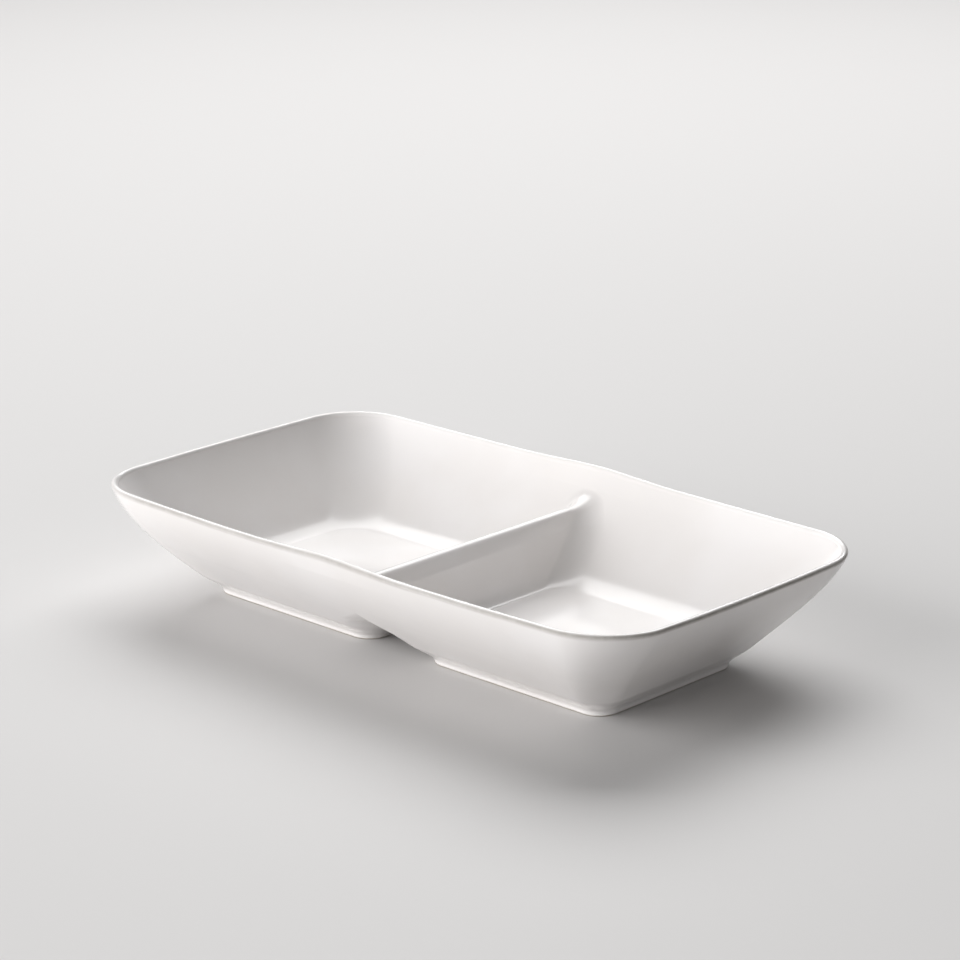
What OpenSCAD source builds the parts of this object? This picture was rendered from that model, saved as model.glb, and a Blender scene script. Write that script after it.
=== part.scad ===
// Divided serving bowl in stoneware, in millimetres.
// Two basins stand side by side on their own foot rings. One common wall with a rounded lip goes round both,
// and a low divider stands on the basins' adjoining edges and runs into the long sides of that wall.
// X runs along the bowl, Y across it and Z up, from the table under the bowl's middle.

/* [Bowl] */
// Length over the rim
bowl_l = 340; // [310:1:400]
// Width over the rim
bowl_w = 188; // [160:1:220]
// Height of the rim beside the middle of each well
rim_h = 56.5; // [50:0.5:70]
// Extra height of the rim at its four corners
corner_rise = 0.6; // [0:0.1:3]
// Extra height of the rim above the divider's ends
middle_rise = 1.8; // [0:0.1:4]
// How far along the rim that extra height fades out
middle_span = 30; // [20:1:45]
// Corner radius of the rim in plan
rim_r = 33; // [22:1:50]
// How far the long sides bow outward
side_bow = 3.4; // [0:0.1:8]
// How far the short ends bow outward
end_bow = 2.6; // [0:0.1:9]

/* [Clay] */
// Level thickness of the wall just above the feet
base_t = 8.5; // [6:0.5:11]
// Thickness of the rounded lip
lip_t = 3.4; // [2.5:0.1:5.5]
// Thickness of the basins' base from its foot ring up to the well floor
floor_t = 10.5; // [7:0.1:12]

/* [Wells] */
// Height of the cove between a floor and its walls
cove_h = 6; // [3:0.5:9]
// Width of that cove
cove_w = 4.5; // [2:0.5:8]
// Corner radius of the floors at the bowl's ends
floor_r = 15; // [8:1:25]

/* [Divider] */
// How far the crest lies below the rim
crest_drop = 14.5; // [11:0.5:20]
// Thickness of the divider where its crest starts to round
crest_t = 9; // [6:0.5:14]
// Height of the rounded crest
crest_round = 4; // [2:0.5:6]
// Lean of the divider's faces from upright, in degrees
face_lean = 14; // [8:1:20]
// Radius of the turn from a face into the long wall
turn_r = 13; // [8:1:24]
// How far the crest sweeps up where it meets the long wall
sweep_h = 5.5; // [3:0.5:9]

/* [Arch] */
// Height of the arch between the basins
arch_h = 17.5; // [14:0.5:20]
// Radius of the round front and back edges of the arch
edge_r = 18; // [10:0.5:19]
// Height over which those edges fade into the wall above the arch
edge_h = 9; // [5:0.5:10]
// Height of the basins' joined faces above those edges
joint_h = 3; // [0.5:0.5:4]

/* [Feet] */
// Length of each foot ring
foot_l = 107; // [88:0.5:118]
// Width of each foot ring
foot_w = 95; // [75:1:110]
// Outer corner radius of a foot ring
foot_r = 10.5; // [9:0.5:24]
// Height of a foot ring
foot_h = 1.5; // [1:0.1:5]
// Width of the face that a foot ring rests on
foot_t = 7; // [4:0.5:8]
// Gap between the two foot rings
foot_gap = 35.5; // [30:0.5:46]
// Depth of the hollow in a basin's base, inside its foot ring
hollow_h = 2.5; // [1:0.1:4]
// Width of the slope round that hollow
hollow_w = 2; // [0.5:0.5:5]
// How far the wall flares out above a foot ring
flare_w = 3.1; // [1:0.1:5]
// Height over which that flare runs into the wall
flare_h = 10; // [4:0.5:14]

/* [Hidden] */

// Swell and tuck of the outer wall between foot and rim, at the ends and at the long sides
end_swell_share = 0.20;
end_tuck_share = 0.15;
side_swell_share = 0.52;
side_tuck_share = 0.03;
// How far the corner radius lags behind the wall's height
corner_lag_share = 0.36;
// Stretch of the wall's height that leaves the foot upright
upright_share = 0.08;
// How the arch narrows on its way up, and how round it is at the top
arch_taper_power = 0.95;
arch_crown_power = 1.28;
// Share of the arch's edge radius left where the basins' joined faces meet the outside
joint_share = 0.08;

glaze = "#f3f1ec";
bare_clay = "#e8e1d5";

// Facets round a corner, along an end, a side and its flat stretch, up a wall, and over the smaller curves
corner_steps = 10;
end_steps = 4;
side_steps = 5;
flat_steps = 6;
wall_steps = 6;
edge_steps = 6;
vault_steps = 5;
flare_steps = 6;
lip_steps = 8;
cove_steps = 5;
face_steps = 4;
crown_steps = 6;
$fn = 72;

floor_h = foot_h + floor_t;
seam_h = arch_h + edge_h + joint_h;
crest_h = rim_h - crest_drop;
shoulder_h = crest_h - crest_round;
end_top_h = crest_h + sweep_h;
lip_h = rim_h - lip_t/2;
foot_x = (foot_gap + foot_l)/2;

function mix(a, b, u) = a + (b - a)*u;
function swell(u, swell_share, tuck_share) = u + u*(1 - u)*(swell_share - tuck_share*(1 - 2*u));
function eased(u) = u*u*(1 + upright_share)/(u + upright_share);
function rise(z) = min(1, (z - foot_h)/(lip_h - foot_h));
function out(z) = eased(rise(z));
function flare(z) = let (t = min(1, (z - foot_h)/flare_h)) flare_w*t*t*(3 - 2*t);

// Outer wall at a height: half length, half width and corner radius
function outer_a(z) = flare(z)
    + mix(foot_gap/2 + foot_l, bowl_l/2 - flare_w, swell(out(z), end_swell_share, end_tuck_share));
function outer_b(z) = flare(z)
    + mix(foot_w/2, bowl_w/2 - flare_w, swell(out(z), side_swell_share, side_tuck_share));
function outer_r(z) = flare(z) + mix(foot_r, rim_r - flare_w, swell(out(z), -corner_lag_share, 0));

// Inner wall at a height, with the level wall thickness taken off
function wall_t(z) = mix(base_t, lip_t, rise(z));
function inner_a(z) = outer_a(z) - wall_t(z);
function inner_b(z) = outer_b(z) - wall_t(z);
function inner_r(z) = mix(floor_r + cove_w, rim_r - lip_t, rise(z));

// Divider face on the right at a height, and the stretch of long wall that stays flat for the divider's ends
function face_x(z) = crest_t/2 + (shoulder_h - z)*tan(face_lean);
flat_x = face_x(seam_h) + turn_r;

// Wall under the arch at a height: distance from mid-length and corner radius. Above the arch the distance falls
// below zero, and the round edge that is left on this side of mid-length grows shorter until it fades out.
function arch_v(z) = min(1, (z - foot_h)/(arch_h - foot_h));
function arch_x(z) = z < arch_h
    ? (foot_gap/2 - flare(z))*pow(1 - pow(eased(arch_v(z)), arch_taper_power), 1/arch_crown_power)
    : -edge_r*min(1 - joint_share, (z - arch_h)/edge_h);
function arch_r(z) = mix(foot_r + flare(z), edge_r, arch_v(z));

// Turn about a centre, and the points between two ends of a straight run
function turn(x, y, r, from, sweep = 90) =
    [for (i = [0:corner_steps]) let (t = from + sweep*i/corner_steps) [x + r*cos(t), y + r*sin(t)]];
function run(p, q, steps) = [for (i = [1:1:steps - 1]) mix(p, q, i/steps)];

// Closed plan outline from x0 to x1 with half width b and one corner radius for each end, cut off at mid-length
function basin_plan(x0, x1, b, r0, r1) =
    let (x = max(0, x0),
         cut = acos(min(1, (x0 + r0)/r0)),
         y = b - r0*(1 - sin(cut)))
    concat(
        turn(x1 - r1, r1 - b, r1, -90), run([x1, r1 - b], [x1, b - r1], end_steps),
        turn(x1 - r1, b - r1, r1, 0), run([x1 - r1, b], [x0 + r0, b], side_steps),
        turn(x0 + r0, b - r0, r0, 90, 90 - cut), run([x, y], [x, -y], end_steps),
        turn(x0 + r0, r0 - b, r0, 180 + cut, 90 - cut), run([x0 + r0, -b], [x1 - r1, -b], side_steps));

// Long side of the common wall, with both ends of its flat stretch as points
function long_side(x, y) =
    let (flat = sign(x)*flat_x)
    concat(
        run([x, y], [flat, y], side_steps), [[flat, y]], run([flat, y], [-flat, y], flat_steps), [[-flat, y]],
        run([-flat, y], [-x, y], side_steps));

// Closed plan outline of the whole bowl
function wall_plan(a, b, r) =
    concat(
        turn(a - r, r - b, r, -90), run([a, r - b], [a, b - r], end_steps),
        turn(a - r, b - r, r, 0), long_side(a - r, b),
        turn(r - a, b - r, r, 90), run([-a, b - r], [-a, r - b], end_steps),
        turn(r - a, r - b, r, 180), long_side(r - a, -b));

// Bows a plan outline inward toward its corners, more the higher it lies
function bowed(p, a, b, z) =
    let (along = max(0, abs(p.x) - flat_x)/(a - flat_x))
    [p.x - sign(p.x)*end_bow*rise(z)*pow(p.x/a, 2)*pow(p.y/b, 2),
     p.y - side_bow*rise(z)*(p.y/b)*pow(along, 2)];

// Wave of the rim: up at the corners and above the divider's ends, from the divider's top upward
corner_uv = (1 - (1 - cos(45))*rim_r/(bowl_l/2))*(1 - (1 - cos(45))*rim_r/(bowl_w/2));
function wave(p, z) =
    let (at_corner = pow(abs(p.x*p.y)/(bowl_l/2*bowl_w/2*corner_uv), 4),
         at_middle = exp(-pow(p.x/middle_span, 2))*pow(min(1, abs(p.y)/inner_b(z)), 4))
    max(0, (z - end_top_h)/(rim_h - end_top_h))*(corner_rise*at_corner + middle_rise*at_middle);

// Rings of points at a height z
function well_ring(z, cove) =
    let (a = inner_a(z), b = inner_b(z))
    [for (p = basin_plan(face_x(z) + cove, a - cove, b - cove, turn_r - cove, inner_r(z) - cove))
        [each bowed(p, a, b, z), z]];
function shell_ring(z) =
    let (a = outer_a(z), b = outer_b(z))
    [for (p = basin_plan(arch_x(z), a, b, arch_r(z), outer_r(z))) [each bowed(p, a, b, z), z]];
function hollow_ring(z, inset) =
    let (x0 = foot_gap/2, r = foot_r - foot_t)
    [for (p = basin_plan(x0 + inset, x0 + foot_l - inset, foot_w/2 - inset, r, r)) [each p, z]];
function wall_ring(z, inset, r) =
    let (a = outer_a(z) - inset, b = outer_b(z) - inset)
    [for (p = wall_plan(a, b, r)) let (q = bowed(p, a, b, z)) [each q, z + wave(q, z)]];

// Faces between rings of n points, from ring k to ring l
function band(k, l, n) =
    [for (i = [0:n - 1]) let (j = (i + 1)%n) each [[k*n + i, k*n + j, l*n + j], [k*n + i, l*n + j, l*n + i]]];

// Heights of the common wall's inner rings that the divider's ends share
face_zs = [for (i = [0:face_steps]) mix(seam_h, shoulder_h, i/face_steps)];
crown_zs = [for (i = [1:crown_steps]) mix(shoulder_h, end_top_h, sin(90*i/crown_steps))];

module right_basin() {
    coves = [for (i = [0:cove_steps]) 90*i/cove_steps];
    rings = concat(
        [for (t = coves) well_ring(floor_h + cove_h*(1 - cos(t)), cove_w*(1 - sin(t)))],
        [for (i = [1:face_steps]) well_ring(mix(floor_h + cove_h, seam_h, i/face_steps), 0)],
        [shell_ring(seam_h)],
        [for (i = [edge_steps:-1:0]) shell_ring(arch_h + edge_h*(1 - joint_share)*pow(i/edge_steps, 2))],
        [for (i = [1:vault_steps]) shell_ring(mix(arch_h, foot_h + flare_h, pow(i/vault_steps, 2)))],
        [for (i = [1:flare_steps]) shell_ring(mix(foot_h + flare_h, foot_h, i/flare_steps))],
        [hollow_ring(foot_h, foot_t), hollow_ring(foot_h + hollow_h, foot_t + hollow_w)]);
    n = len(rings[0]);
    last = len(rings) - 1;
    // Each flat face starts in the middle of a corner
    floor_face = [for (i = [0:n - 1]) (corner_steps/2 + n - i)%n];
    base_face = [for (i = [0:n - 1]) last*n + (corner_steps/2 + i)%n];
    color(glaze)
        polyhedron(
            [for (ring = rings) each ring],
            concat([floor_face], [for (k = [0:last - 1]) each band(k, k + 1, n)], [base_face]));
}

module left_basin() {
    mirror([1, 0, 0]) right_basin();
}

module upper_wall() {
    inner_zs = concat(face_zs, crown_zs, [mix(end_top_h, lip_h, 1/2)]);
    lip = [for (i = [0:lip_steps]) 180*i/lip_steps];
    rings = concat(
        [for (z = inner_zs) wall_ring(z, wall_t(z), inner_r(z))],
        [for (t = lip)
            let (inset = lip_t*(1 + cos(t))/2)
            wall_ring(lip_h + lip_t*sin(t)/2, inset, rim_r - inset)],
        [for (i = [1:wall_steps]) let (z = mix(lip_h, seam_h, i/wall_steps)) wall_ring(z, 0, outer_r(z))]);
    n = len(rings[0]);
    m = len(rings);
    color(glaze)
        polyhedron([for (ring = rings) each ring], [for (k = [0:m - 1]) each band(k, (k + 1)%m, n)]);
}

// Cross-section of the divider on its way into the long wall: turn goes from 0 at the wall to 90 where it is plain
function divider_ring(turn, side) =
    let (splay = turn_r*(1 - sin(turn)),
         clear = turn_r*(1 - cos(turn)),
         crown_h = crest_round + sweep_h*(1 - sin(turn)),
         crown_x = crest_t/2 + splay,
         face = [for (z = face_zs) [face_x(z) + splay, z]],
         crown = [for (i = [1:2*crown_steps - 1])
             [crown_x*cos(90*i/crown_steps), shoulder_h + crown_h*sin(90*i/crown_steps)]],
         other_face = [for (i = [face_steps:-1:0]) [-face[i].x, face[i].y]])
    [for (p = concat(face, crown, other_face)) [p.x, side*(inner_b(p.y) - clear), p.y]];

module divider() {
    turns = [for (i = [0:corner_steps]) 90*i/corner_steps];
    rings = concat(
        [for (t = turns) divider_ring(t, -1)],
        [for (i = [corner_steps:-1:0]) divider_ring(turns[i], 1)]);
    n = len(rings[0]);
    last = len(rings) - 1;
    half = (n - 1)/2;
    front_face = [for (i = [0:half - 1]) each [[n - 1 - i, i + 1, i], [n - 1 - i, n - 2 - i, i + 1]]];
    back_face = [for (f = front_face) [for (i = [2:-1:0]) last*n + f[i]]];
    closed = [for (f = concat(front_face, back_face)) if (f[0] != f[1] && f[1] != f[2]) f];
    color(glaze)
        polyhedron(
            [for (ring = rings) each ring],
            concat([for (k = [0:last - 1]) each band(k, k + 1, n)], closed));
}

module plate(l, w, r) {
    offset(r) square([l - 2*r, w - 2*r], center = true);
}

module right_foot() {
    color(bare_clay)
        translate([foot_x, 0, 0])
            linear_extrude(foot_h)
                difference() {
                    plate(foot_l, foot_w, foot_r);
                    plate(foot_l - 2*foot_t, foot_w - 2*foot_t, foot_r - foot_t);
                }
}

module left_foot() {
    mirror([1, 0, 0]) right_foot();
}

left_basin();
right_basin();
upper_wall();
divider();
left_foot();
right_foot();
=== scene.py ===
"""A divided serving bowl in white glazed stoneware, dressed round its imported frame. Lengths are in metres."""

import math

import bmesh
import bpy
import numpy as np
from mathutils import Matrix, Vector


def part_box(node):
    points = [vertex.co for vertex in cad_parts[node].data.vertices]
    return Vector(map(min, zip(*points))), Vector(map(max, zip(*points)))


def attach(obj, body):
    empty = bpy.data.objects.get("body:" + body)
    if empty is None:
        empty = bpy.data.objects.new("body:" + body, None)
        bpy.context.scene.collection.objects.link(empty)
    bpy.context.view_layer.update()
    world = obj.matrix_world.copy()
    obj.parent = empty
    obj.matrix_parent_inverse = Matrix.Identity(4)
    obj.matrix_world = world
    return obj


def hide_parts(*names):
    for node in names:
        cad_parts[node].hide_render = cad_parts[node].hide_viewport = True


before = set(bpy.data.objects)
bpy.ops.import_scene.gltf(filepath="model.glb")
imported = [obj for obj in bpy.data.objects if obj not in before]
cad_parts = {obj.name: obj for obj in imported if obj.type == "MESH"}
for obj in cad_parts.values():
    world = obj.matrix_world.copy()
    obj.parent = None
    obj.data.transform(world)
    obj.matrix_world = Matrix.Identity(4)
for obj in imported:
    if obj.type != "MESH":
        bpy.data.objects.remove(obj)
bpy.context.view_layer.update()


# Foot rings
# A low ring of clay under each basin, stuck on with slip before firing. Its sides take the glaze with the
# basin, and its resting face is wiped clean so that the bowl doesn't fuse to the kiln shelf. The bare band's
# dark brown is partly painted shade, standing in for the contact line under the foot.

foot_low, foot_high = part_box("right_foot")
foot_l = foot_high.x - foot_low.x
foot_w = foot_high.y - foot_low.y
foot_h = foot_high.z
foot_t = 0.007
foot_r = 0.0105
foot_edge_r = 0.0011
foot_turn_steps = 28
foot_edge_steps = 8
wiped_h = 0.0005
wipe_scale = 90

milk = (0.865, 0.843, 0.835, 1)
cream = (0.835, 0.808, 0.793, 1)
# Bare clay, dark and brown enough to serve also as painted shade for the contact line under the foot.
bare_clay_and_painted_shade = (0.60, 0.53, 0.44, 1)


class Wire:
    """A socket of a node tree. Arithmetic on it adds Math nodes, and node() adds any other node."""

    def __init__(self, tree, socket=None):
        self.tree = tree
        self.socket = socket

    def node(self, kind, settings, inputs, output=0):
        made = self.tree.nodes.new(kind)
        for name, value in settings.items():
            setattr(made, name, value)
        for name, value in inputs.items():
            if isinstance(value, Wire):
                self.tree.links.new(value.socket, made.inputs[name])
            else:
                made.inputs[name].default_value = value
        return Wire(self.tree, made.outputs[output])

    def maths(self, operation, first, second):
        return self.node("ShaderNodeMath", {"operation": operation}, {0: first, 1: second})

    def __add__(self, other):
        return self.maths("ADD", self, other)

    def __sub__(self, other):
        return self.maths("SUBTRACT", self, other)

    def __rsub__(self, other):
        return self.maths("SUBTRACT", other, self)

    def __mul__(self, other):
        return self.maths("MULTIPLY", self, other)

    def __gt__(self, other):
        return self.maths("GREATER_THAN", self, other)

    __radd__ = __add__
    __rmul__ = __mul__

    def noise(self, place, scale, detail):
        return self.node("ShaderNodeTexNoise", {}, {"Vector": place, "Scale": scale, "Detail": detail})

    def fade(self, value, start, end):
        steps = {"interpolation_type": "SMOOTHSTEP"}
        return self.node("ShaderNodeMapRange", steps, {0: value, 1: start, 2: end, 3: 0.0, 4: 1.0})

    def blend(self, factor, first, second):
        return self.node("ShaderNodeMix", {"data_type": "RGBA"}, {0: factor, 6: first, 7: second}, 2)


def glaze(name, shows=None, under=None, under_rough=0.0):
    """White glaze with faint clouds and ripples. Where shows is near 1, the colour under it comes through; on
    the foot and the lip that colour is partly painted shade.
    """
    cloud_scale = 16
    ripple_scale = 26
    peel_scale = 420
    ripple_depth = 0.00036
    peel_share = 0.012
    gloss_rough = 0.13
    dull_rough = 0.24
    material = bpy.data.materials.new(name)
    material.use_nodes = True
    tree = material.node_tree
    shader = tree.nodes["Principled BSDF"]
    pen = Wire(tree)
    place = pen.node("ShaderNodeTexCoord", {}, {}, "Object")
    cloud = pen.noise(place, cloud_scale, 3.0)
    ripple = pen.noise(place, ripple_scale, 1.0)
    peel = pen.noise(place, peel_scale, 1.0)
    colour = pen.blend(pen.fade(cloud, 0.35, 0.65), milk, cream)
    rough = gloss_rough + (dull_rough - gloss_rough) * pen.fade(ripple, 0.3, 0.8)
    if shows:
        mask = shows(pen, place)
        colour = pen.blend(mask, colour, under)
        rough = rough + mask * under_rough
    height = ripple + peel * peel_share
    normal = pen.node("ShaderNodeBump", {}, {"Height": height, "Distance": ripple_depth})
    tree.links.new(colour.socket, shader.inputs["Base Color"])
    tree.links.new(rough.socket, shader.inputs["Roughness"])
    tree.links.new(normal.socket, shader.inputs["Normal"])
    shader.inputs["IOR"].default_value = 1.5
    return material


# Mask of the bare band at the bottom of the foot; its dark colour also stands as painted contact shade.
def wiped_foot_and_painted_shade(pen, place):
    level = pen.node("ShaderNodeSeparateXYZ", {}, {0: place}, "Z")
    ragged = pen.noise(place, wipe_scale, 2.0) * wiped_h
    return 1 - pen.fade(level - ragged, 0.0, wiped_h)


foot_glaze = glaze("foot_glaze", wiped_foot_and_painted_shade, bare_clay_and_painted_shade, 0.5)


def foot_ring_tree():
    """Sweeps a section, square above and rounded below, round a rectangle with round corners."""
    same_point = 1e-6
    tree = bpy.data.node_groups.new("foot_ring", "GeometryNodeTree")
    lengths = ("Length", "Width", "Corner radius", "Ring width", "Height", "Edge radius", "Middle")
    for length in lengths:
        tree.interface.new_socket(length, in_out="INPUT", socket_type="NodeSocketFloat")
    tree.interface.new_socket("Finish", in_out="INPUT", socket_type="NodeSocketMaterial")
    tree.interface.new_socket("Ring", in_out="OUTPUT", socket_type="NodeSocketGeometry")
    given = tree.nodes.new("NodeGroupInput")
    size = {length: Wire(tree, given.outputs[length]) for length in lengths}
    pen = Wire(tree)
    path = pen.node("GeometryNodeCurvePrimitiveQuadrilateral", {}, {
        "Width": size["Length"] - size["Ring width"],
        "Height": size["Width"] - size["Ring width"]})
    path = pen.node("GeometryNodeFilletCurve", {"mode": "POLY"}, {
        "Curve": path, "Count": foot_turn_steps, "Radius": size["Corner radius"] - size["Ring width"] * 0.5})
    centre = pen.node("ShaderNodeCombineXYZ", {}, {"X": size["Middle"], "Z": size["Height"] * 0.5})
    path = pen.node("GeometryNodeSetPosition", {}, {"Geometry": path, "Offset": centre})
    section = pen.node("GeometryNodeCurvePrimitiveQuadrilateral", {}, {
        "Width": size["Ring width"], "Height": size["Height"]})
    corner = pen.node("GeometryNodeInputPosition", {}, {})
    lower = pen.node("ShaderNodeSeparateXYZ", {}, {0: corner}, "Y") > 0.0
    section = pen.node("GeometryNodeFilletCurve", {"mode": "POLY"}, {
        "Curve": section, "Count": foot_edge_steps, "Radius": lower * size["Edge radius"]})
    ring = pen.node("GeometryNodeCurveToMesh", {}, {"Curve": path, "Profile Curve": section})
    ring = pen.node("GeometryNodeMergeByDistance", {}, {"Geometry": ring, "Distance": same_point})
    ring = pen.node("GeometryNodeRealizeInstances", {}, {"Geometry": ring})
    finish = Wire(tree, given.outputs["Finish"])
    ring = pen.node("GeometryNodeSetMaterial", {}, {"Geometry": ring, "Material": finish})
    result = tree.nodes.new("NodeGroupOutput")
    tree.links.new(ring.socket, result.inputs["Ring"])
    return tree


def stand_in_frame(name, mesh, node):
    """Puts a finished mesh in the scene as the piece that stands for a node of the frame."""
    sharp_angle = math.radians(24)
    mesh.shade_smooth()
    mesh.set_sharp_from_angle(angle=sharp_angle)
    piece = bpy.data.objects.new(name, mesh)
    bpy.context.scene.collection.objects.link(piece)
    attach(piece, "root")
    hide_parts(node)


def swept_foot(name, middle, node):
    blank = bpy.data.objects.new(name + "_blank", bpy.data.meshes.new(name + "_blank"))
    bpy.context.scene.collection.objects.link(blank)
    sweep = blank.modifiers.new("ring", "NODES")
    sweep.node_group = foot_ring_tree()
    values = {
        "Length": foot_l, "Width": foot_w, "Corner radius": foot_r, "Ring width": foot_t,
        "Height": foot_h, "Edge radius": foot_edge_r, "Middle": middle, "Finish": foot_glaze}
    for socket in sweep.node_group.interface.items_tree:
        if socket.in_out == "INPUT":
            sweep[socket.identifier] = values[socket.name]
    mesh = bpy.data.meshes.new_from_object(blank.evaluated_get(bpy.context.evaluated_depsgraph_get()))
    bpy.data.objects.remove(blank)
    mesh.name = name
    shell = bmesh.new()
    shell.from_mesh(mesh)
    bmesh.ops.recalc_face_normals(shell, faces=shell.faces)
    shell.to_mesh(mesh)
    shell.free()
    stand_in_frame(name, mesh, node)


foot_x = (foot_low.x + foot_high.x) / 2
swept_foot("right_foot_ring", foot_x, "right_foot")
swept_foot("left_foot_ring", -foot_x, "left_foot")


# Basins
# Two shallow stoneware dishes side by side, pressed over a mould, so that wall and floor flow into each other
# through a cove. Their outer walls lean away from each other below and meet above an arch.

wall_low, wall_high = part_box("upper_wall")
half_l = wall_high.x
half_w = wall_high.y
seam_h = wall_low.z
middle_rise = 0.0018
rim_h = wall_high.z - middle_rise
rim_r = 0.033
side_bow = 0.0034
end_bow = 0.0026
base_t = 0.0085
lip_t = 0.0034
lip_h = rim_h - lip_t / 2
floor_h = 0.012
cove_h = 0.0075
cove_w = 0.0045
wall_cove_w = 0.0082
floor_r = 0.015
arch_h = 0.0175
edge_r = 0.018
edge_h = 0.009
hollow_h = 0.0025
hollow_w = 0.002
flare_w = 0.0031
flare_h = 0.010
crest_drop = 0.0145
crest_h = rim_h - crest_drop
crest_t = 0.0108
crest_round = 0.0076
shoulder_h = crest_h - crest_round
face_lean = math.radians(14)
turn_r = 0.013

end_swell, end_tuck = 0.20, 0.15
side_swell, side_tuck = 0.52, 0.03
corner_lag = 0.36
upright = 0.08
arch_taper = 0.95
arch_crown = 1.28

corner_steps = 32
end_steps = 24
side_steps = 48
cove_steps = 12
well_steps = 12
arch_steps = 16
flare_steps = 20


def mix(a, b, u):
    return a + (b - a) * u


def swell(u, swell_share, tuck_share):
    return u + u * (1 - u) * (swell_share - tuck_share * (1 - 2 * u))


def eased(u):
    return u * u * (1 + upright) / (u + upright)


def rise(z):
    return min(1, (z - foot_h) / (lip_h - foot_h))


def flare(z):
    t = min(1, (z - foot_h) / flare_h)
    return flare_w * t * t * (3 - 2 * t)


def outer_a(z):
    return flare(z) + mix(foot_high.x, half_l - flare_w, swell(eased(rise(z)), end_swell, end_tuck))


def outer_b(z):
    return flare(z) + mix(foot_high.y, half_w - flare_w, swell(eased(rise(z)), side_swell, side_tuck))


def outer_r(z):
    return flare(z) + mix(foot_r, rim_r - flare_w, swell(eased(rise(z)), -corner_lag, 0))


def wall_t(z):
    return mix(base_t, lip_t, rise(z))


def inner_r(z):
    return mix(floor_r + cove_w, rim_r - lip_t, rise(z))


def face_x(z):
    return crest_t / 2 + (shoulder_h - z) * math.tan(face_lean)


flat_x = face_x(seam_h) + turn_r


def arch_v(z):
    return min(1, (z - foot_h) / (arch_h - foot_h))


def arch_x(z):
    if z < arch_h:
        return (foot_low.x - flare(z)) * (1 - eased(arch_v(z)) ** arch_taper) ** (1 / arch_crown)
    return -edge_r * min(1, (z - arch_h) / edge_h)


def arch_r(z):
    return mix(foot_r + flare(z), edge_r, arch_v(z))


def bend(x, y, r, start, sweep=90):
    turns = [math.radians(start + sweep * i / corner_steps) for i in range(corner_steps + 1)]
    return [(x + r * math.cos(t), y + r * math.sin(t)) for t in turns]


def straight(p, q, steps):
    return [(mix(p[0], q[0], i / steps), mix(p[1], q[1], i / steps)) for i in range(1, steps)]


def basin_outline(x0, x1, b, r0, r1):
    x = max(0, x0)
    cut = math.degrees(math.acos(min(1, max(0, (x0 + r0) / r0))))
    y = b - r0 * (1 - math.sin(math.radians(cut)))
    return (
        bend(x1 - r1, r1 - b, r1, -90) + straight((x1, r1 - b), (x1, b - r1), end_steps)
        + bend(x1 - r1, b - r1, r1, 0) + straight((x1 - r1, b), (x0 + r0, b), side_steps)
        + bend(x0 + r0, b - r0, r0, 90, 90 - cut) + straight((x, y), (x, -y), end_steps)
        + bend(x0 + r0, r0 - b, r0, 180 + cut, 90 - cut) + straight((x0 + r0, -b), (x1 - r1, -b), side_steps))


def bowed(x, y, a, b, z):
    along = max(0, abs(x) - flat_x) / (a - flat_x)
    bow_x = math.copysign(end_bow, x) * rise(z) * (x / a) ** 2 * (y / b) ** 2
    bow_y = side_bow * rise(z) * (y / b) * along ** 2
    return x - bow_x, y - bow_y


def well_ring(z, cove_share):
    """One level of a well. Its cove is tight at the divider and the end, and wider along the long walls."""
    a = outer_a(z) - wall_t(z)
    b = outer_b(z) - wall_t(z)
    tight = cove_w * cove_share
    wide = wall_cove_w * cove_share
    plan = basin_outline(face_x(z) + tight, a - tight, b - wide, turn_r - tight, inner_r(z) - wide)
    return [bowed(x, y, a, b, z) + (z,) for x, y in plan]


def shell_ring(z):
    a = outer_a(z)
    b = outer_b(z)
    plan = basin_outline(arch_x(z), a, b, arch_r(z), outer_r(z))
    return [bowed(x, y, a, b, z) + (z,) for x, y in plan]


def hollow_ring(z, inset):
    r = foot_r - foot_t
    plan = basin_outline(foot_low.x + inset, foot_high.x - inset, foot_high.y - inset, r, r)
    return [(x, y, z) for x, y in plan]


def levels(start, end, steps):
    return [mix(start, end, i / steps) for i in range(1, steps + 1)]


def clay_mesh(name, points, faces, finish):
    """Closes the clay form, with points that fall together made one and every face turned outward."""
    same_point = 1e-7
    mesh = bpy.data.meshes.new(name)
    shell = bmesh.new()
    corners = [shell.verts.new(p) for p in points]
    for face in faces:
        shell.faces.new([corners[i] for i in face])
    bmesh.ops.remove_doubles(shell, verts=shell.verts, dist=same_point)
    bmesh.ops.recalc_face_normals(shell, faces=shell.faces)
    shell.to_mesh(mesh)
    shell.free()
    mesh.materials.append(finish)
    return mesh


def band(first, second, n):
    """The faces between two rings of n points each, given by the rings' places in the list of rings."""
    low = first * n
    high = second * n
    return [(low + i, low + (i + 1) % n, high + (i + 1) % n, high + i) for i in range(n)]


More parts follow.
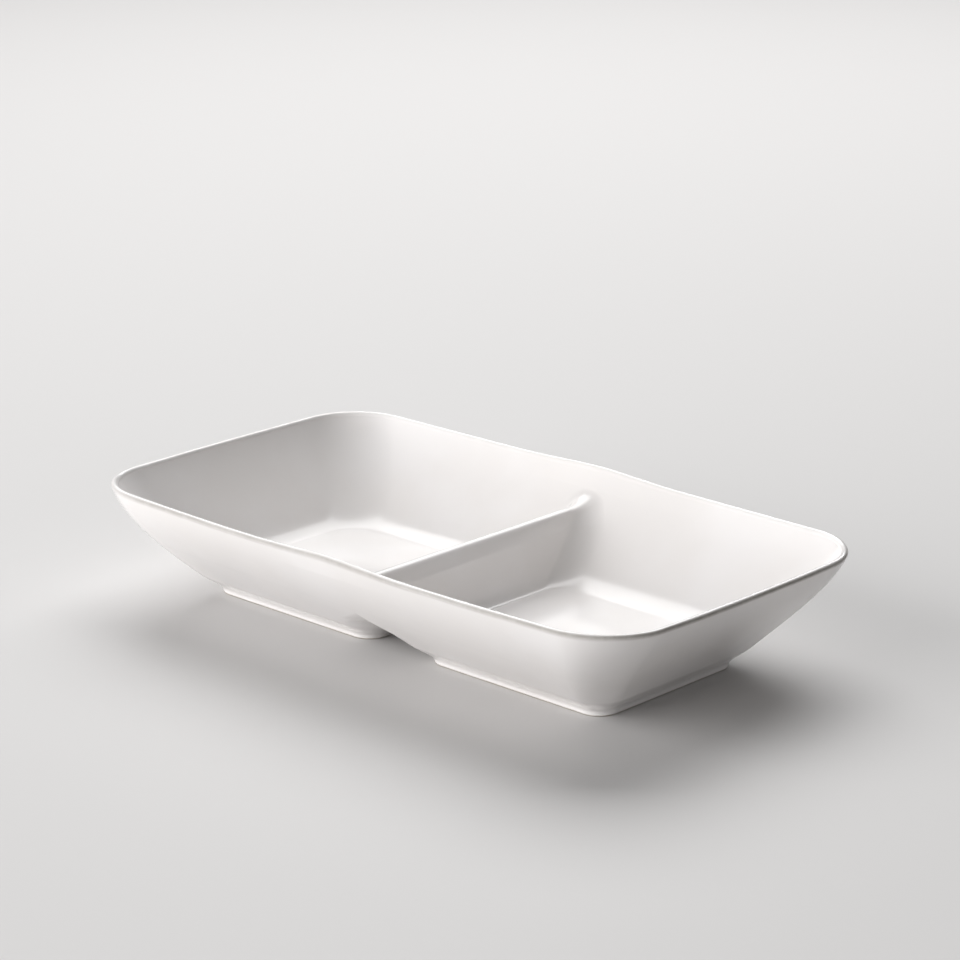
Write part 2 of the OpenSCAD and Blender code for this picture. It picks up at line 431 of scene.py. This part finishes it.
def pressed_basin(name, side, node):
    quarter_turn = [math.radians(90 * i / cove_steps) for i in range(cove_steps + 1)]
    flare_top_h = foot_h + flare_h
    arch_shares = [(i / arch_steps) ** 2 for i in range(arch_steps + 1)]
    rings = [well_ring(floor_h + cove_h * (1 - math.cos(t)), 1 - math.sin(t)) for t in quarter_turn]
    rings += [well_ring(z, 0) for z in levels(floor_h + cove_h, seam_h, well_steps)]
    rings += [shell_ring(seam_h)]
    rings += [shell_ring(arch_h + edge_h * u) for u in reversed(arch_shares)]
    rings += [shell_ring(mix(arch_h, flare_top_h, u)) for u in arch_shares[1:]]
    rings += [shell_ring(z) for z in levels(flare_top_h, foot_h, flare_steps)]
    rings += [hollow_ring(foot_h, foot_t), hollow_ring(foot_h + hollow_h, foot_t + hollow_w)]
    n = len(rings[0])
    last = len(rings) - 1
    faces = [tuple(range(n)), tuple(range(last * n, last * n + n))]
    for k in range(last):
        faces += band(k, k + 1, n)
    points = [(side * x, y, z) for ring in rings for x, y, z in ring]
    stand_in_frame(name, clay_mesh(name, points, faces, body_glaze), node)


body_glaze = glaze("body_glaze")
pressed_basin("right_basin_shell", 1, "right_basin")
pressed_basin("left_basin_shell", -1, "left_basin")


# Divider
# A low wall of the same clay, stuck with slip on the basins' adjoining edges. Its crest is shaved to a bevel
# and rounded with a wet sponge, and both ends are smoothed out into the long walls, so that the crest sweeps
# up and the faces turn.

sweep_h = 0.0055
half_t = crest_t / 2
bevel_lean = math.radians(22)
face_steps = 8
bevel_steps = 6
round_steps = 12
mid_steps = 24
top_r = (half_t - crest_round * math.tan(bevel_lean)) * math.cos(bevel_lean) / (1 - math.sin(bevel_lean))
bevel_h = crest_round - top_r * (1 - math.sin(bevel_lean))
crown = [(half_t - z * math.tan(bevel_lean), z) for z in levels(0, bevel_h, bevel_steps)]
for t in levels(bevel_lean, math.pi / 2, round_steps):
    crown.append((top_r * math.cos(t), crest_round - top_r * (1 - math.sin(t))))

face_levels = [seam_h] + levels(seam_h, shoulder_h, face_steps)
end_top_h = crest_h + sweep_h
crown_levels = [mix(shoulder_h, end_top_h, z / crest_round) for x, z in crown]


def divider_ring(turn, side):
    splay = turn_r * (1 - math.sin(turn))
    clear = turn_r * (1 - math.cos(turn))
    wider = 1 + splay / half_t
    taller = 1 + sweep_h * (1 - math.sin(turn)) / crest_round
    half = [(face_x(z) + splay, z) for z in face_levels]
    half += [(x * wider, shoulder_h + z * taller) for x, z in crown]
    profile = half + [(-x, z) for x, z in reversed(half[:-1])]
    return [(x, side * (outer_b(z) - wall_t(z) - clear), z) for x, z in profile]


def slipped_divider(name, node):
    turns = [math.radians(90 * i / corner_steps) for i in range(corner_steps + 1)]
    near = [divider_ring(t, -1) for t in turns]
    far = [divider_ring(t, 1) for t in reversed(turns)]
    middle = []
    for i in range(1, mid_steps):
        middle.append([
            (mix(p[0], q[0], i / mid_steps), mix(p[1], q[1], i / mid_steps), p[2])
            for p, q in zip(near[-1], far[0])])
    rings = near + middle + far
    n = len(rings[0])
    last = len(rings) - 1
    faces = []
    for k in range(last):
        faces += band(k, k + 1, n)
    for start in (0, last * n):
        for i in range((n - 1) // 2 - 1):
            faces.append((start + i, start + i + 1, start + n - 2 - i, start + n - 1 - i))
        top = (n - 1) // 2
        faces.append((start + top - 1, start + top, start + top + 1))
    points = [p for ring in rings for p in ring]
    stand_in_frame(name, clay_mesh(name, points, faces, body_glaze), node)


slipped_divider("divider_wall", "divider")


# Common wall
# One band of clay raised round both basins and pulled thinner to a rounded lip, a little higher at the
# corners and over the divider. The glaze thins on the lip's outer edge and the clay shows there as a broken
# grey line, darkened further by painted shade: little at the left corner, most towards the right end.

corner_rise = 0.0006
middle_span = 0.030
bank_steps = 12
lip_steps = 28
outside_steps = 44

# Grey of the lip line: clay showing through thin glaze, darkened further as painted shade.
clay_grey_and_painted_shade = (0.27, 0.245, 0.215, 1)
lip_line_start = 0.0006
lip_line_middle = 0.0018
lip_line_end = 0.0041
lip_line_waver = 0.0008
line_and_shade_at_corner = 0.15
painted_shade_at_front = 0.45
painted_shade_at_end = 0.25
patch_share = 0.15
grain_share = 0.12
waver_scale = 45
patch_scale = 28
grain_scale = 330


def wall_outline(a, b, r):
    def long_side(x, y):
        return straight((x, y), (0, y), side_steps) + [(0, y)] + straight((0, y), (-x, y), side_steps)

    return (
        bend(a - r, r - b, r, -90) + straight((a, r - b), (a, b - r), end_steps)
        + bend(a - r, b - r, r, 0) + long_side(a - r, b)
        + bend(r - a, b - r, r, 90) + straight((-a, b - r), (-a, r - b), end_steps)
        + bend(r - a, r - b, r, 180) + long_side(r - a, -b))


corner_u = 1 - (1 - math.cos(math.radians(45))) * rim_r / half_l
corner_v = 1 - (1 - math.cos(math.radians(45))) * rim_r / half_w


def wave(x, y, z):
    at_corner = (abs(x * y) / (half_l * half_w * corner_u * corner_v)) ** 4
    at_middle = math.exp(-(x / middle_span) ** 2) * min(1, abs(y) / (outer_b(z) - wall_t(z))) ** 4
    reach = max(0, (z - end_top_h) / (rim_h - end_top_h))
    return reach * (corner_rise * at_corner + middle_rise * at_middle)


def wall_ring(z, inset, r):
    a = outer_a(z) - inset
    b = outer_b(z) - inset
    ring = [bowed(x, y, a, b, z) for x, y in wall_outline(a, b, r)]
    return [(x, y, z + wave(x, y, z)) for x, y in ring]


def raised_wall(name, node):
    inner = face_levels + crown_levels + levels(end_top_h, lip_h, bank_steps)[:-1]
    rings = [wall_ring(z, wall_t(z), inner_r(z)) for z in inner]
    over_lip = [0.0] * len(rings)
    for i in range(lip_steps + 1):
        t = math.pi * i / lip_steps
        inset = lip_t * (1 + math.cos(t)) / 2
        rings.append(wall_ring(lip_h + lip_t * math.sin(t) / 2, inset, rim_r - inset))
        over_lip.append(lip_t / 2 * (t - math.pi / 2))
    for z in levels(lip_h, seam_h, outside_steps):
        rings.append(wall_ring(z, 0, outer_r(z)))
        over_lip.append(lip_t / 2 * math.pi / 2 + lip_h - z)
    n = len(rings[0])
    m = len(rings)
    faces = []
    for k in range(m):
        faces += band(k, (k + 1) % m, n)
    mesh = clay_mesh(name, [p for ring in rings for p in ring], faces, lip_glaze_and_painted_shade)
    past_crest = mesh.attributes.new("past_crest", "FLOAT", "POINT")
    past_crest.data.foreach_set("value", np.repeat(over_lip, n))
    stand_in_frame(name, mesh, node)


# Mask of the grey lip line: thin glaze over the clay, with painted shade laid over it.
def broken_edge_and_painted_shade(pen, place):
    past = pen.node("ShaderNodeAttribute", {"attribute_name": "past_crest"}, {}, "Fac")
    past = past + (pen.noise(place, waver_scale, 2.0) - 0.5) * lip_line_waver
    line = pen.fade(past, lip_line_start, lip_line_middle) * (1 - pen.fade(past, lip_line_middle, lip_line_end))
    along = pen.node("ShaderNodeSeparateXYZ", {}, {0: place}, "X")
    past_corner = pen.fade(along, -half_l, -0.7 * half_l)
    to_end = pen.fade(along, 0.3 * half_l, half_l)
    # Painted shade: the line darkens from the left corner to the right end, where the lip turns away from the
    # lamps.
    depth = line_and_shade_at_corner + painted_shade_at_front * past_corner + painted_shade_at_end * to_end
    patchy = 1 - patch_share + patch_share * pen.fade(pen.noise(place, patch_scale, 2.0), 0.35, 0.65)
    grain = 1 - grain_share + grain_share * pen.fade(pen.noise(place, grain_scale, 2.0), 0.3, 0.6)
    return line * depth * patchy * grain


lip_glaze_and_painted_shade = glaze("lip_glaze_and_painted_shade", broken_edge_and_painted_shade, clay_grey_and_painted_shade, 0.08)
raised_wall("common_wall", "upper_wall")


# Floor
# A plain pale table top that the bowl stands on. It isn't part of the object.

floor_half = 4.0
table_grey = (0.60, 0.59, 0.585, 1)
table_rough = 0.6
floor_mesh = bpy.data.meshes.new("table_top")
floor_corners = [(x * floor_half, y * floor_half, 0) for x, y in ((-1, -1), (1, -1), (1, 1), (-1, 1))]
floor_mesh.from_pydata(floor_corners, [], [(0, 1, 2, 3)])
floor = bpy.data.objects.new("table_top", floor_mesh)
bpy.context.scene.collection.objects.link(floor)
table = bpy.data.materials.new("pale_table")
table.use_nodes = True
table.node_tree.nodes["Principled BSDF"].inputs["Base Color"].default_value = table_grey
table.node_tree.nodes["Principled BSDF"].inputs["Roughness"].default_value = table_rough
floor_mesh.materials.append(table)


# Light
# A large soft lamp high at the back left, a wide one at the front left, a weak low one at the right and a
# faint even sky.


def soft_lamp(name, place, size, watts, mirrored):
    """An area lamp aimed at the bowl. One that isn't mirrored lights the glaze and leaves no image in it."""
    lamp = bpy.data.lights.new(name, "AREA")
    lamp.shape = "RECTANGLE"
    lamp.size, lamp.size_y = size
    lamp.energy = watts
    stand = bpy.data.objects.new(name, lamp)
    stand.location = place
    aim = -stand.location
    stand.rotation_euler = aim.to_track_quat("-Z", "Y").to_euler()
    stand.visible_camera = False
    stand.visible_glossy = mirrored
    bpy.context.scene.collection.objects.link(stand)


soft_lamp("window_lamp", (-1.1, 1.4, 1.82), (2.5, 2.0), 73, True)
soft_lamp("front_lamp", (-0.9, -2.0, 0.8), (2.6, 1.7), 72, False)
soft_lamp("right_lamp", (1.85, -0.5, 0.6), (1.4, 0.6), 5, False)
sky = bpy.data.worlds.new("pale_sky")
sky.use_nodes = True
sky.node_tree.nodes["Background"].inputs["Color"].default_value = (1, 1, 1, 1)
sky.node_tree.nodes["Background"].inputs["Strength"].default_value = 0.015
bpy.context.scene.world = sky
bpy.context.scene.view_settings.view_transform = "Standard"


# Camera
# At the front right and a little above, as the photograph was taken.

turn_to_view = math.radians(43.26)
view_height = math.radians(17.44)
camera_data = bpy.data.cameras.new("view")
camera_data.sensor_width = 36
camera_data.lens = 121.77
camera = bpy.data.objects.new("view", camera_data)
camera.location = (0.9896, -1.0435, 0.5240)
camera.rotation_euler = (math.pi / 2 - view_height, 0, turn_to_view)
bpy.context.scene.collection.objects.link(camera)
bpy.context.scene.camera = camera
